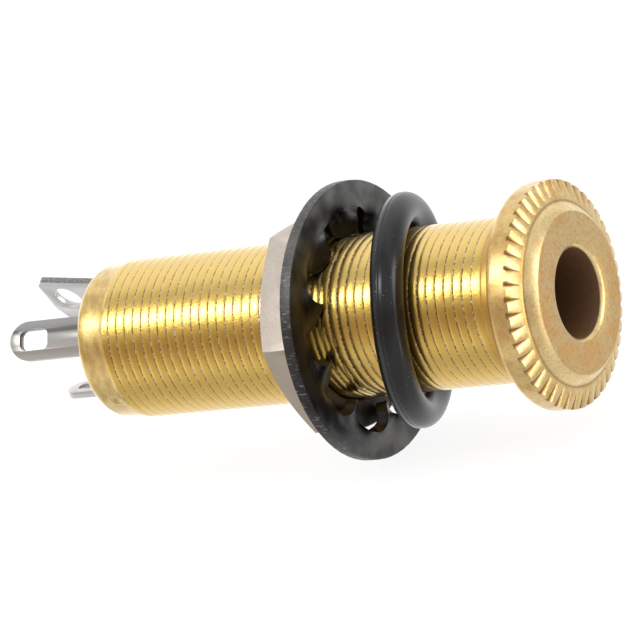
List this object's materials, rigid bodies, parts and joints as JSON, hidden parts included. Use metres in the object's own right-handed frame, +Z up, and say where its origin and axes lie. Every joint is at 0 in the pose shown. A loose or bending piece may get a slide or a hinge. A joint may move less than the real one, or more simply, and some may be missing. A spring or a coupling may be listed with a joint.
{
  "type": "phone jack socket",
  "caption": "Long threaded barrel socket for a stereo phone plug, with a knurled flange, seal ring, toothed lock washer, thin hex nut and rear solder tags.",
  "frame": {"origin": "on the barrel's axis, at the back face of the flange, where a panel seats", "axes": "+X along the barrel and out of the plug hole, +Z up; the contacts stand at 30, 150 and 270 degrees from +Y towards +Z"},
  "size_m": [0.0486, 0.0204, 0.0205],
  "materials": {
    "barrel_brass": "turned, thinly gold plated, bright on the thread and satin on the flange",
    "seal_rubber": "smooth black moulded rubber",
    "washer_steel": "stamped spring steel with a black oxide coat",
    "nut_nickel": "satin nickel plated",
    "contact_tin": "stamped brass strip with a grey tin plate",
    "disc_phenolic": "punched brown laminate"
  },
  "bodies": {
    "root": {"barrel": "barrel_brass", "seal_ring": "seal_rubber", "lock_washer": "washer_steel", "hex_nut": "nut_nickel", "sleeve_contact": "contact_tin", "front_disc": "disc_phenolic", "tip_contact": "contact_tin", "middle_disc": "disc_phenolic", "ring_contact": "contact_tin", "rear_disc": "disc_phenolic"}
  },
  "joints": []
}
